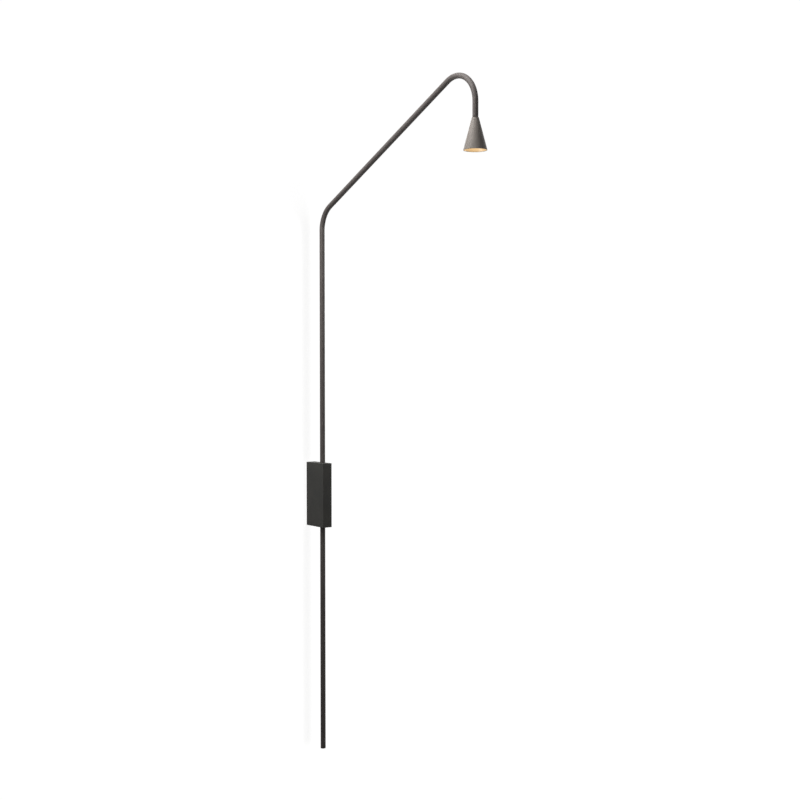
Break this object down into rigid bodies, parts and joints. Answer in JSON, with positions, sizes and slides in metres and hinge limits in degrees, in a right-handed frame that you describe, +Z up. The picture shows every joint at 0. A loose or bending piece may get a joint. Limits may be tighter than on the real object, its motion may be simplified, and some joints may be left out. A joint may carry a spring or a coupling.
{
  "type": "swivelling wall lamp",
  "caption": "Slim wall lamp: a box on the wall holds a long bent tube that swivels and carries a small lit cone shade over the room.",
  "frame": {"origin": "middle of the wall plate's back face, on the wall", "axes": "+Z up, +Y into the wall, so the arm reaches towards -Y; +X to the right seen from the room"},
  "size_m": [0.0484, 0.6147, 1.4976],
  "materials": {
    "housing_powder_coat": "fine matt black-grey powder coat",
    "tube_lacquer": "satin dark bronze-grey lacquer",
    "cap_lacquer": "satin dark bronze-grey lacquer",
    "zinc_plated_steel": "bright zinc plate",
    "black_rubber": "moulded rubber",
    "white_polyamide": "moulded polyamide",
    "brass": "turned brass",
    "tinned_copper": "tinned copper",
    "green_pvc": "extruded cable sleeve",
    "brown_pvc": "extruded cable sleeve",
    "green_laminate": "circuit board with solder mask",
    "ferrite": "pressed ferrite",
    "enamelled_copper": "enamelled copper winding",
    "capacitor_can": "sleeved aluminium can",
    "white_silicone": "extruded silicone sleeve",
    "black_acetal": "moulded acetal",
    "spring_steel": "hardened spring steel",
    "blackened_screw": "blackened steel",
    "blackened_brass": "blackened turned brass",
    "turned_aluminium": "turned aluminium",
    "lamp_board": "white solder mask on aluminium",
    "lamp_phosphor": "yellow phosphor",
    "white_reflector": "moulded white reflector plastic",
    "frosted_lens": "frosted acrylic, lit warm white"
  },
  "bodies": {
    "base": {"wall_plate": "zinc_plated_steel", "cable_grommet": "black_rubber", "terminal_block": "white_polyamide", "terminal_clamps": "brass", "terminal_screws": "zinc_plated_steel", "earth_lug": "tinned_copper", "earth_screw": "zinc_plated_steel", "earth_lead": "green_pvc", "mains_leads": "brown_pvc", "driver_tray": "white_polyamide", "driver_cover": "white_polyamide", "driver_board": "green_laminate", "driver_transformer": "ferrite", "driver_winding": "enamelled_copper", "driver_capacitors": "capacitor_can", "driver_socket": "white_polyamide", "driver_screws": "zinc_plated_steel", "led_plug": "white_polyamide", "led_lead_loop": "white_silicone", "bottom_bush": "black_acetal", "top_bush": "black_acetal", "thrust_washer": "black_acetal", "disc_spring": "spring_steel", "stop_pin": "spring_steel", "housing": "housing_powder_coat", "housing_screws": "blackened_screw"},
    "mast": {"mast_tube": "tube_lacquer", "led_lead": "white_silicone", "lead_anchor": "black_rubber", "end_cap": "cap_lacquer", "stop_collar": "zinc_plated_steel", "upper_collar": "zinc_plated_steel", "collar_screws": "blackened_screw", "arm_insert": "blackened_brass", "shade": "tube_lacquer", "heat_sink": "turned_aluminium", "led_cores": "brown_pvc", "led_board": "lamp_board", "led_chip": "lamp_phosphor", "board_screws": "zinc_plated_steel", "reflector_cup": "white_reflector", "lens": "frosted_lens", "lens_ring": "white_reflector"}
  },
  "joints": [
    {"name": "mast_swivel", "type": "hinge", "parent": "base", "child": "mast", "pos_m": [0, -0.05, 0], "axis": [0, 0, 1], "range_deg": [-90, 90], "deforming": ["led_lead_loop"]}
  ]
}
